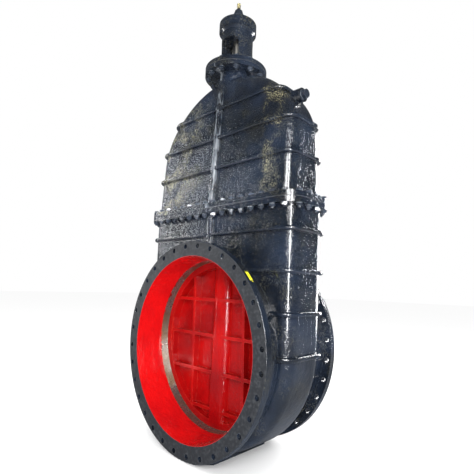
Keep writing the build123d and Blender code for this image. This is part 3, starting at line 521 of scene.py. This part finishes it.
def washer(low, high):
    return [
        circle_ring(washer_r, low),
        circle_ring(washer_r, high - washer_bevel),
        circle_ring(washer_r - washer_bevel, high),
    ]


def template(name, stacks):
    """One fastener at its real height on the Z axis, made of closed stacks of rings."""
    shape = bmesh.new()
    for rings in stacks:
        skin_rings(shape, rings)
    bmesh.ops.recalc_face_normals(shape, faces=shape.faces)
    mesh = bpy.data.meshes.new(name)
    shape.to_mesh(mesh)
    shape.free()
    return bpy.data.objects.new(name, mesh)


def joint_bolt(name, top, nut_bottom, bottom):
    """A hexagon bolt with its washer, plain down to its nut and tapered to a point below it."""
    seat = top - bolt_head_h
    point_r = bolt_r - bolt_point_depth
    return template(name, [
        washer(seat, seat + washer_t),
        hexagon_rings(bolt_flats, seat + washer_t, top, 0, 1),
        [circle_ring(bolt_r, nut_bottom), circle_ring(bolt_r, seat + washer_t)],
        [
            circle_ring(bolt_r, nut_bottom),
            circle_ring(point_r, (nut_bottom + bottom) / 2),
            circle_ring(point_r, bottom),
        ],
    ])


def joint_nut(name, bottom, top):
    """A hexagon nut with its washer on top."""
    return template(name, [
        washer(top, top - washer_t),
        hexagon_rings(bolt_flats, bottom, top - washer_t, 1, 0),
    ])


row_tree = bpy.data.node_groups.new("fastener_row", "GeometryNodeTree")
row_sockets = {
    "Path": "NodeSocketGeometry",
    "Count": "NodeSocketInt",
    "Fastener": "NodeSocketObject",
    "Finish": "NodeSocketMaterial",
    "Seed": "NodeSocketInt",
}
for label, kind in row_sockets.items():
    row_tree.interface.new_socket(label, in_out="INPUT", socket_type=kind)
row_tree.interface.new_socket("Row", in_out="OUTPUT", socket_type="NodeSocketGeometry")
row_in = row_tree.nodes.new("NodeGroupInput")
row_out = row_tree.nodes.new("NodeGroupOutput")
double = row_tree.nodes.new("ShaderNodeMath")
double.operation = "MULTIPLY"
double.inputs[1].default_value = 2.0
row_tree.links.new(row_in.outputs["Count"], double.inputs[0])
spaced = row_tree.nodes.new("GeometryNodeResampleCurve")
row_tree.links.new(row_in.outputs["Path"], spaced.inputs["Curve"])
row_tree.links.new(double.outputs[0], spaced.inputs["Count"])
order = row_tree.nodes.new("GeometryNodeInputIndex")
odd = row_tree.nodes.new("ShaderNodeMath")
odd.operation = "MODULO"
odd.inputs[1].default_value = 2.0
row_tree.links.new(order.outputs[0], odd.inputs[0])
held = row_tree.nodes.new("GeometryNodeObjectInfo")
row_tree.links.new(row_in.outputs["Fastener"], held.inputs["Object"])
chance = row_tree.nodes.new("FunctionNodeRandomValue")
chance.data_type = "FLOAT"
chance.inputs[3].default_value = math.tau
row_tree.links.new(row_in.outputs["Seed"], chance.inputs["Seed"])
spin = row_tree.nodes.new("ShaderNodeCombineXYZ")
row_tree.links.new(chance.outputs[1], spin.inputs["Z"])
scatter = row_tree.nodes.new("GeometryNodeInstanceOnPoints")
row_tree.links.new(spaced.outputs[0], scatter.inputs["Points"])
row_tree.links.new(odd.outputs[0], scatter.inputs["Selection"])
row_tree.links.new(held.outputs["Geometry"], scatter.inputs["Instance"])
row_tree.links.new(spin.outputs[0], scatter.inputs["Rotation"])
solid = row_tree.nodes.new("GeometryNodeRealizeInstances")
row_tree.links.new(scatter.outputs[0], solid.inputs[0])
coated = row_tree.nodes.new("GeometryNodeSetMaterial")
row_tree.links.new(solid.outputs[0], coated.inputs["Geometry"])
row_tree.links.new(row_in.outputs["Finish"], coated.inputs["Material"])
row_tree.links.new(coated.outputs[0], row_out.inputs[0])


def fastener_row(name, node_name, places, fastener, finish, seed):
    """Even copies of one fastener along a closed path, each turned at random, in place of a CAD node.

    The places are the path's points and the number of copies, and the finish is the
    material and a slot name; the slot name is not used.
    """
    points, count = places
    material, slot = finish
    data = bpy.data.curves.new(name + "_path", "CURVE")
    data.dimensions = "3D"
    line = data.splines.new("POLY")
    line.points.add(len(points) - 1)
    for point, (px, py) in zip(line.points, points):
        point.co = (px, py, 0, 1)
    line.use_cyclic_u = True
    path = bpy.data.objects.new(name + "_path", data)
    bpy.context.scene.collection.objects.link(path)
    maker = path.modifiers.new("row", "NODES")
    maker.node_group = row_tree
    values = {"Count": count, "Fastener": fastener, "Finish": material, "Seed": seed}
    for item in row_tree.interface.items_tree:
        if item.name in values:
            maker[item.identifier] = values[item.name]
    graph = bpy.context.evaluated_depsgraph_get()
    mesh = bpy.data.meshes.new_from_object(path.evaluated_get(graph), depsgraph=graph)
    mesh.name = name
    bpy.data.objects.remove(path)
    bpy.data.objects.remove(fastener)
    piece = bpy.data.objects.new(name, mesh)
    bpy.context.scene.collection.objects.link(piece)
    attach(piece, "housing")
    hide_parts(node_name)


bolt_low, bolt_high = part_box("bonnet_bolts")
nut_low, nut_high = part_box("bonnet_nuts")
flange_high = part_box("bonnet_gasket")[1]
edge_gap = 0.021
pair_x = flange_high.x - edge_gap
pair_y = flange_high.y - edge_gap
pair_corner = 0.111
pair_line = [(pair_x, 0.0)]
corner_x = pair_x - pair_corner
corner_y = pair_y - pair_corner
arc_steps = 32
for centre_x, centre_y, start in (
    (corner_x, corner_y, 0),
    (-corner_x, corner_y, 90),
    (-corner_x, -corner_y, 180),
    (corner_x, -corner_y, 270),
):
    for step in range(arc_steps + 1):
        angle = math.radians(start + 90 * step / arc_steps)
        arc_x = centre_x + pair_corner * math.cos(angle)
        arc_y = centre_y + pair_corner * math.sin(angle)
        pair_line.append((arc_x, arc_y))

bonnet_bolt = joint_bolt("bonnet_bolt", bolt_high.z, nut_low.z, bolt_low.z)
bonnet_nut = joint_nut("bonnet_nut", nut_low.z, nut_high.z)
bonnet_places = (pair_line, 40)
painted_finish = (fastener_blue, "fastener_paint")
fastener_row("bonnet_bolt_row", "bonnet_bolts", bonnet_places, bonnet_bolt, painted_finish, seed=3)
fastener_row("bonnet_nut_row", "bonnet_nuts", bonnet_places, bonnet_nut, painted_finish, seed=8)

# Vent plug: a forged steel plug with a hexagon head, screwed into the boss on the right
# shoulder over a soft washer, and painted with the bonnet.
plug_low, plug_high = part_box("vent_plug")
plug_z = (plug_low.z + plug_high.z) / 2
plug_flats = 0.060
plug_head_h = 0.034
plug_shank_r = 0.0195
plug_washer_r = 0.036
boss_face_x = plug_high.x - plug_head_h
vent_plug = template("vent_plug_forged", [
    hexagon_rings(plug_flats, boss_face_x, plug_high.x, 0, 1),
    [circle_ring(plug_shank_r, plug_low.x), circle_ring(plug_shank_r, boss_face_x)],
    [circle_ring(plug_washer_r, boss_face_x, 32), circle_ring(plug_washer_r, boss_face_x + washer_t, 32)],
])
for corner in vent_plug.data.vertices:
    side_y, side_z, along_x = corner.co
    corner.co = (along_x, side_y, plug_z + side_z)
vent_plug.data.materials.append(fastener_blue)
bpy.context.scene.collection.objects.link(vent_plug)
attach(vent_plug, "housing")
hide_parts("vent_plug")

# Stuffing box, pillar and bearing cover: turned iron castings at the top of the valve,
# finer skinned than the big castings and painted nearly black.
column_paint, tree, shader, bump, place = begin_paint("column_paint", 0.8, 0.003)
skin = place_group(tree, cast_skin, Position=place, Lump_Size=0.016, Grain_Size=0.005)
colour = coat_over(tree, skin["Tone"], body_blue, body_blue_light)
dust = place_group(tree, settled_dust, Position=place, Amount=0.30)
colour = coat_over(tree, dust["Mask"], colour, yard_dust)
colour = edge_wear_and_highlight(tree, colour, place, 0.004, 0.2, bare_iron)
rough = calculate(tree, "MULTIPLY_ADD", dust["Mask"], 0.4, skin["Dullness"])
finish_paint(tree, shader, bump, colour, rough, skin["Height"])
for piece in ("stuffing_box", "pillar", "bearing_cover"):
    dress(piece, column_paint)

# Packing rings: plaited graphite yarn, cut to four rings and pressed square in the
# stuffing box by the gland.
black_yarn = (0.020, 0.020, 0.022, 1)
graphite_grey = (0.085, 0.085, 0.090, 1)
packing_yarn, tree, shader, bump, place = begin_paint("packing_yarn", 0.0, 0.0015)
plait = tree.nodes.new("ShaderNodeTexBrick")
plait.inputs["Scale"].default_value = 60.0
tree.links.new(place, plait.inputs["Vector"])
sheen = fade(tree, cloud(tree, place, 120.0, 3.0), 0.3, 0.7)
colour = coat_over(tree, sheen, black_yarn, graphite_grey)
rough = calculate(tree, "MULTIPLY_ADD", sheen, 0.2, 0.4)
finish_paint(tree, shader, bump, colour, rough, plait.outputs["Fac"])
for number in range(1, 5):
    dress(f"packing_ring_{number}", packing_yarn)

# Neck bolts and nuts: twelve M24 hexagon bolts that clamp the pillar and the stuffing
# box to the bonnet's neck, painted with the castings.
neck_low, neck_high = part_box("neck_bolts")
neck_nut_low, neck_nut_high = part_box("neck_nuts")
neck_circle_r = 0.215


def circle_line(radius):
    """The points of a bolt circle's line, as x and y."""
    steps = 96
    return [point[:2] for point in circle_ring(radius, 0, steps)]


neck_bolt = joint_bolt("neck_bolt", neck_high.z, neck_nut_low.z, neck_low.z)
neck_nut = joint_nut("neck_nut", neck_nut_low.z, neck_nut_high.z)
neck_places = (circle_line(neck_circle_r), 12)
fastener_row("neck_bolt_row", "neck_bolts", neck_places, neck_bolt, painted_finish, seed=5)
fastener_row("neck_nut_row", "neck_nuts", neck_places, neck_nut, painted_finish, seed=6)

# Gland studs, gland nuts and cover screws, and the thrust bearings: plain machine
# steel, oiled, with a grey sheen and the first freckles of rust.
clean_steel = (0.42, 0.42, 0.41, 1)
hazed_steel = (0.26, 0.25, 0.23, 1)
steel_rust = (0.22, 0.09, 0.04, 1)
bare_steel, tree, shader, bump, place = begin_paint("bare_steel", 0.0, 0.0004)
haze = fade(tree, cloud(tree, place, 35.0, 5.0), 0.35, 0.72)
colour = coat_over(tree, haze, clean_steel, hazed_steel)
freckles = fade(tree, cloud(tree, place, 140.0, 3.0), 0.66, 0.72)
colour = coat_over(tree, freckles, colour, steel_rust)
shader.inputs["Metallic"].default_value = 1.0
rough = calculate(tree, "MULTIPLY_ADD", haze, 0.25, 0.25)
finish_paint(tree, shader, bump, colour, rough, cloud(tree, place, 300.0, 2.0))
for piece in ("lower_thrust_bearing", "upper_thrust_bearing"):
    dress(piece, bare_steel)

stud_low, stud_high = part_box("gland_studs")
gland_nut_low, gland_nut_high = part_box("gland_nuts")
stud_r = 0.008
stud_pitch = 0.002
stud_thread_depth = 0.001
gland_nut_flats = 0.024
gland_places = (circle_line(0.080), 4)
bare_finish = (bare_steel, "bare_steel")


def thread_rings(radius, low, high, pitch, depth):
    """Rings of a threaded end, crest and root in turn."""
    rings = []
    steps = round((high - low) / pitch)
    for n in range(steps):
        base = low + (high - low) * n / steps
        rings.append(circle_ring(radius, base))
        rings.append(circle_ring(radius - depth, base + (high - low) / steps / 2))
    rings.append(circle_ring(radius - depth, high))
    return rings


gland_stud = template("gland_stud", [
    [circle_ring(stud_r, stud_low.z), circle_ring(stud_r, gland_nut_low.z)],
    thread_rings(stud_r, gland_nut_low.z, stud_high.z, stud_pitch, stud_thread_depth),
])
gland_nut = template("gland_nut", [
    hexagon_rings(gland_nut_flats, gland_nut_low.z, gland_nut_high.z, 1, 1),
])
fastener_row("gland_stud_row", "gland_studs", gland_places, gland_stud, bare_finish, seed=1)
fastener_row("gland_nut_row", "gland_nuts", gland_places, gland_nut, bare_finish, seed=2)

screw_low, screw_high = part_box("cover_screws")
cover_places = (circle_line(0.100), 4)
screw_r = 0.006
head_r = 0.009
head_h = 0.012
head_low = screw_high.z - head_h
head_bevel = 0.001
socket_r = 0.005
socket_depth = 0.006
socket_floor = screw_high.z - socket_depth
cover_screw = template("cover_screw", [[
    circle_ring(screw_r, screw_low.z),
    circle_ring(screw_r, head_low),
    circle_ring(head_r, head_low),
    circle_ring(head_r, screw_high.z - head_bevel),
    circle_ring(head_r - head_bevel, screw_high.z),
    circle_ring(socket_r, screw_high.z),
    circle_ring(socket_r, socket_floor),
]])
fastener_row("cover_screw_row", "cover_screws", cover_places, cover_screw, bare_finish, seed=4)

# Stem: forged steel, turned and cut with a left-hand trapezoidal thread where it runs
# in the gate's nut; its upper shoulder and square are painted, its tip is plain brass.
turned_steel = (0.56, 0.55, 0.52, 1)
oiled_steel = (0.34, 0.32, 0.28, 1)
stem_paint = (0.016, 0.021, 0.030, 1)
pale_brass = (0.80, 0.74, 0.50, 1)
tip_h = 0.057
bare_neck_h = 0.012
stem_low, stem_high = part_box("stem")
tip_z = stem_high.z - tip_h
cover_top_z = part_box("stem_seal")[1].z
stem_steel, tree, shader, bump, place = begin_paint("stem_steel", 0.0, 0.0004)
z = split(tree, place)["Z"]
film = fade(tree, cloud(tree, place, 22.0, 5.0, (1, 1, 0.25)), 0.35, 0.70)
colour = coat_over(tree, film, turned_steel, oiled_steel)
above_cover = calculate(tree, "GREATER_THAN", z, cover_top_z + bare_neck_h)
painted_end = calculate(tree, "MULTIPLY", above_cover, calculate(tree, "LESS_THAN", z, tip_z))
colour = coat_over(tree, painted_end, colour, stem_paint)
colour = coat_over(tree, calculate(tree, "GREATER_THAN", z, tip_z), colour, pale_brass)
tree.links.new(calculate(tree, "SUBTRACT", 1.0, painted_end), shader.inputs["Metallic"])
rough = calculate(tree, "MULTIPLY_ADD", film, 0.2, 0.2)
finish_paint(tree, shader, bump, colour, rough, cloud(tree, place, 240.0, 2.0))

stem_r = 0.040
stem_bevel = 0.004
stem_lead = 0.012
stem_thread_depth = 0.006
thread_below_bush = 0.0845
thread_top_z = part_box("stem_bush")[0].z - thread_below_bush
collar_r = 0.070
collar_h = 0.025
fit_gap = 0.0001
collar_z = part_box("lower_thrust_bearing")[1].z + fit_gap
neck_r = 0.038
shoulder_r = 0.046
shoulder_bevel = 0.002
shoulder_h = 0.025
square_h = 0.050
square_low = 0.062
square_high = 0.040
tip_r = 0.015
tip_pitch = 0.0035
tip_thread_depth = 0.0021
tip_end_r = 0.0125
left_hand = -1
right_hand = 1
sides = 48


def round_ring(radius, height):
    return circle_ring(radius, height, sides)


def square_ring(width, height):
    ring = []
    for n in range(sides):
        angle = math.tau * n / sides
        off = (angle + math.pi / 4) % (math.pi / 2) - math.pi / 4
        reach = width / 2 / math.cos(off)
        ring.append((reach * math.cos(angle), reach * math.sin(angle), height))
    return ring


def helix_rings(outer, depth, pitch, low, high, hand, per_pitch):
    """Rings whose radius rises and falls along a screw thread of the given hand."""
    rings = []
    steps = int((high - low) / pitch * per_pitch)
    for step in range(steps + 1):
        height = low + (high - low) * step / steps
        run_out = min(1.0, (height - low) / pitch, (high - height) / pitch)
        ring = []
        for n in range(sides):
            angle = math.tau * n / sides
            phase = (height / pitch - hand * angle / math.tau) % 1.0
            crest = min(1.0, max(0.0, 2.0 - abs(phase - 0.5) * 6.0))
            radius = outer - depth * (1.0 - crest) * run_out
            ring.append((radius * math.cos(angle), radius * math.sin(angle), height))
        rings.append(ring)
    return rings


shoulder_z = tip_z - square_h - shoulder_h
shoulder_top_z = tip_z - square_h
stem_rings = [round_ring(stem_r - stem_bevel, stem_low.z), round_ring(stem_r, stem_low.z + stem_bevel)]
stem_rings += helix_rings(
    stem_r, stem_thread_depth, stem_lead, stem_low.z + 0.005, thread_top_z, left_hand, 6
)
stem_rings += [
    round_ring(stem_r, collar_z),
    round_ring(collar_r, collar_z),
    round_ring(collar_r, collar_z + collar_h),
    round_ring(neck_r, collar_z + collar_h),
    round_ring(neck_r, shoulder_z),
    round_ring(shoulder_r - shoulder_bevel, shoulder_z),
    round_ring(shoulder_r, shoulder_z + shoulder_bevel),
    round_ring(shoulder_r, shoulder_top_z - shoulder_bevel),
    round_ring(shoulder_r - shoulder_bevel, shoulder_top_z),
    square_ring(square_low, shoulder_top_z + fit_gap),
    square_ring(square_high, tip_z),
    round_ring(tip_r, tip_z),
]
stem_rings += helix_rings(
    tip_r, tip_thread_depth, tip_pitch, tip_z + 0.003, stem_high.z - 0.002, right_hand, 5
)
stem_rings.append(round_ring(tip_end_r, stem_high.z))
stem_shape = bmesh.new()
skin_rings(stem_shape, stem_rings)
bmesh.ops.recalc_face_normals(stem_shape, faces=stem_shape.faces)
stem_mesh = bpy.data.meshes.new("threaded_stem")
stem_shape.to_mesh(stem_mesh)
stem_shape.free()
threaded_stem = bpy.data.objects.new("threaded_stem", stem_mesh)
stem_mesh.materials.append(stem_steel)
bpy.context.scene.collection.objects.link(threaded_stem)
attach(threaded_stem, "stem")
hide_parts("stem")
